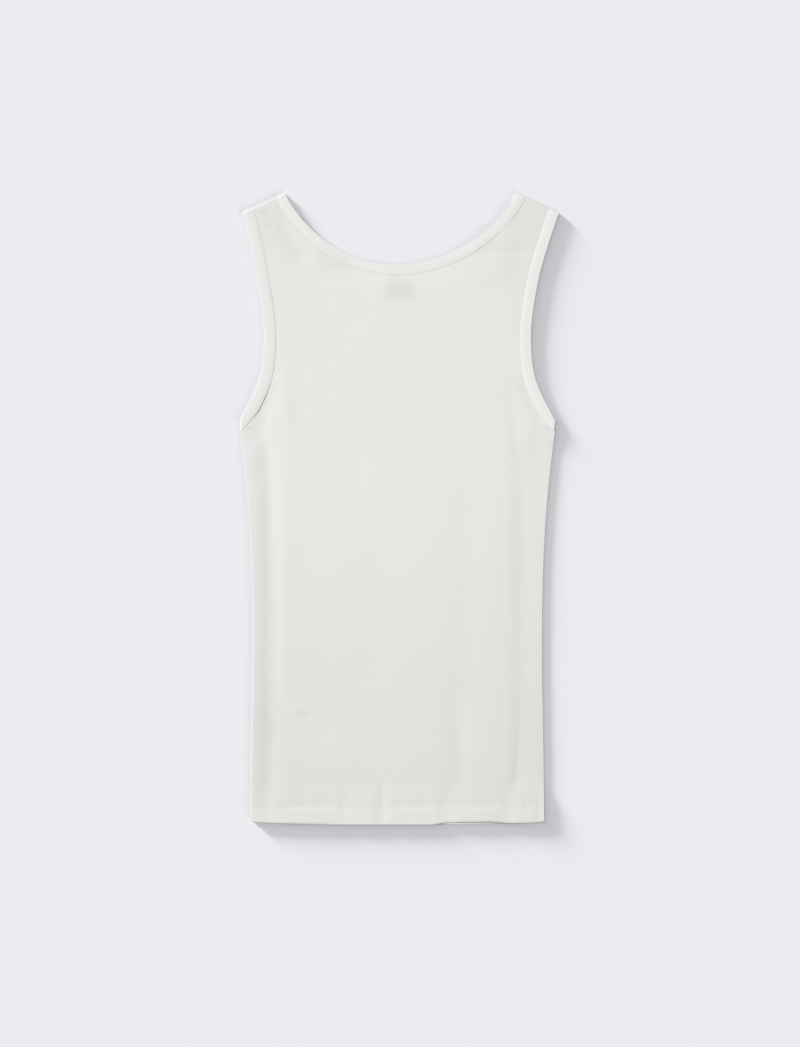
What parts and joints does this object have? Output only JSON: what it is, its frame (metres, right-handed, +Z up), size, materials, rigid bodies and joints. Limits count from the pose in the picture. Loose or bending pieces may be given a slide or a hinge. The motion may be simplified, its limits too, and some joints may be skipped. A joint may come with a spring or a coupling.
{
  "type": "tank top",
  "caption": "Fitted off-white cotton knit tank top with bound neck and armholes, laid flat with its back up.",
  "frame": {"origin": "Centre of the laid garment's outline, on the surface that it rests on.", "axes": "+Z up out of the surface, through the front cloth and then the back cloth. +Y from the hem to the neck. +X across the garment, to the right when the back is seen from above."},
  "size_m": [0.3194, 0.6312, 0.0049],
  "materials": {
    "body_knit": "matt fine cotton knit",
    "band_knit": "matt folded cotton knit strip",
    "label_tape": "smooth woven tape, blank"
  },
  "bodies": {
    "root": {"back_panel": "body_knit", "front_panel": "body_knit", "neck_band": "band_knit", "left_armhole_band": "band_knit", "right_armhole_band": "band_knit", "neck_label": "label_tape"}
  },
  "joints": []
}
